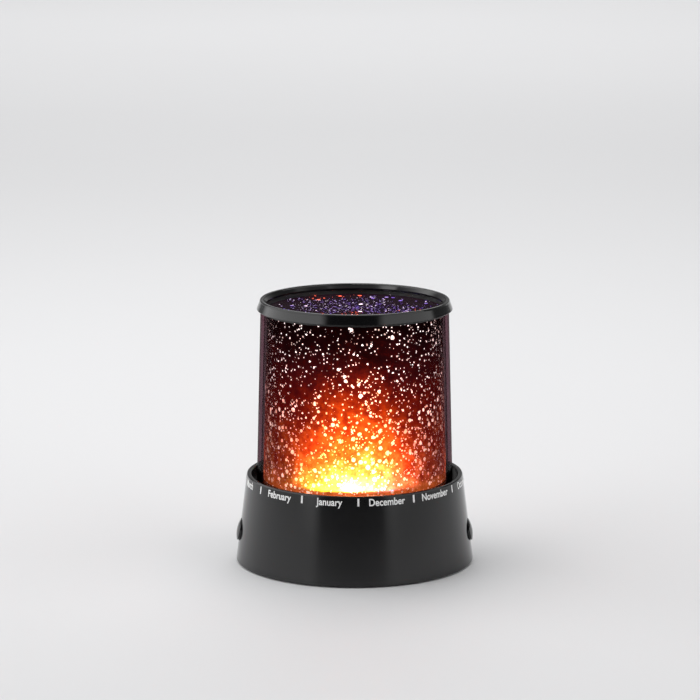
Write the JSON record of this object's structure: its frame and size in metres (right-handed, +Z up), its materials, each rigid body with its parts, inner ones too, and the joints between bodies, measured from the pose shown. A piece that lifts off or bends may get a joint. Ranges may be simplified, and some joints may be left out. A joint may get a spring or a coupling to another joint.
{
  "type": "planetarium projector",
  "caption": "Round star projector lamp: black conical base with a month scale and side push buttons, a clear lift-off shade and a turning drum of star film.",
  "frame": {"origin": "on the table under the middle of the base, at the foot of the rubber feet", "axes": "+Z up along the drum's axis, -Y towards the viewer of the picture, +X to the viewer's right"},
  "size_m": [0.1098, 0.1098, 0.1223],
  "materials": {
    "housing": "polished",
    "cover": "fine texture",
    "door": "fine texture",
    "foot_rubber": "matte",
    "door_foam": "foam",
    "cell_wrap": "printed film sleeve",
    "contact_metal": "nickel plated",
    "button_plastic": "polished",
    "switch_plastic": "moulded",
    "plunger_plastic": "moulded",
    "board_laminate": "solder mask",
    "led_board_white": "solder mask",
    "motor_steel": "plated",
    "armature_metal": "lacquered winding",
    "gear_nylon": "moulded nylon",
    "seat_plastic": "moulded",
    "screw_steel": "zinc plated",
    "clear_drum": "clear",
    "star_film": "printed film",
    "lens_clear": "clear",
    "lens_red": "tinted",
    "lens_green": "tinted",
    "lens_blue": "tinted",
    "clear_sleeve": "clear",
    "cap_plastic": "polished",
    "wire_red": "insulated",
    "wire_black": "insulated",
    "wire_grey": "insulated"
  },
  "bodies": {
    "base": {"base_housing": "housing", "battery_cell_1": "cell_wrap", "battery_cell_2": "cell_wrap", "battery_cell_3": "cell_wrap", "battery_contacts": "contact_metal", "battery_springs": "contact_metal", "battery_wire_black": "wire_black", "battery_wire_red": "wire_red", "board_capacitor": "switch_plastic", "board_screws": "screw_steel", "bottom_cover": "cover", "control_board": "board_laminate", "control_chip": "switch_plastic", "cover_screws": "screw_steel", "dc_jack": "switch_plastic", "dc_jack_pin": "contact_metal", "deck_screws": "screw_steel", "drum_retainer": "seat_plastic", "gear_pin": "motor_steel", "gear_pin_clip": "motor_steel", "jack_wire_black": "wire_black", "jack_wire_red": "wire_red", "led_blue": "lens_blue", "led_board": "led_board_white", "led_green": "lens_green", "led_leads": "contact_metal", "led_red": "lens_red", "led_turret": "seat_plastic", "led_white": "lens_clear", "led_wires": "wire_grey", "motor_can": "motor_steel", "motor_end_cap": "plunger_plastic", "motor_wire_black": "wire_black", "motor_wire_red": "wire_red", "rubber_feet": "foot_rubber", "switch_boards": "board_laminate", "switch_body_back": "switch_plastic", "switch_body_left": "switch_plastic", "switch_body_right": "switch_plastic", "switch_wires": "wire_grey"},
    "drum": {"star_drum": "clear_drum", "drum_gear": "gear_nylon", "star_film_wrap": "star_film", "star_film_disc": "star_film"},
    "reduction_gear": {"reduction_gear": "gear_nylon"},
    "motor_rotor": {"motor_shaft": "motor_steel", "motor_armature": "armature_metal", "motor_pinion": "gear_nylon"},
    "shade": {"shade_sleeve": "clear_sleeve", "top_window": "clear_sleeve", "cap_ring": "cap_plastic"},
    "button_left": {"button_cap_left": "button_plastic", "switch_plunger_left": "plunger_plastic"},
    "button_right": {"button_cap_right": "button_plastic", "switch_plunger_right": "plunger_plastic"},
    "button_back": {"button_cap_back": "button_plastic", "switch_plunger_back": "plunger_plastic"},
    "battery_door": {"battery_door": "door", "door_foam_pad": "door_foam"}
  },
  "joints": [
    {"name": "drum_spin", "type": "hinge", "parent": "base", "child": "drum", "pos_m": [0, 0, 0.04], "axis": [0, 0, 1], "continuous": true},
    {"name": "reduction_gear_spin", "type": "hinge", "parent": "base", "child": "reduction_gear", "pos_m": [0, 0.024, 0.038], "axis": [0, 0, 1], "continuous": true},
    {"name": "motor_spin", "type": "hinge", "parent": "base", "child": "motor_rotor", "pos_m": [0.01184, 0.01969, 0.036], "axis": [0, 0, 1], "continuous": true},
    {"name": "shade_lift", "type": "slide", "parent": "base", "child": "shade", "axis": [0, 0, 1], "range_m": [0, 0.09]},
    {"name": "button_left_press", "type": "slide", "parent": "base", "child": "button_left", "axis": [0.9744, 0.0853, -0.2079], "range_m": [0, 0.0015], "stiffness_N_per_m": 400, "springref_m": -0.0008},
    {"name": "button_right_press", "type": "slide", "parent": "base", "child": "button_right", "axis": [-0.9744, 0.0853, -0.2079], "range_m": [0, 0.0015], "stiffness_N_per_m": 400, "springref_m": -0.0008},
    {"name": "button_back_press", "type": "slide", "parent": "base", "child": "button_back", "axis": [0.2696, -0.9403, -0.2079], "range_m": [0, 0.0015], "stiffness_N_per_m": 400, "springref_m": -0.0008},
    {"name": "battery_door_hinge", "type": "hinge", "parent": "base", "child": "battery_door", "pos_m": [0, -0.02805, 0.0019], "axis": [-1, 0, 0], "range_deg": [0, 95]}
  ],
  "couplings": [
    {"joint": "reduction_gear_spin", "follows": "drum_spin", "ratio": 5},
    {"joint": "motor_spin", "follows": "drum_spin", "ratio": -12.5}
  ]
}
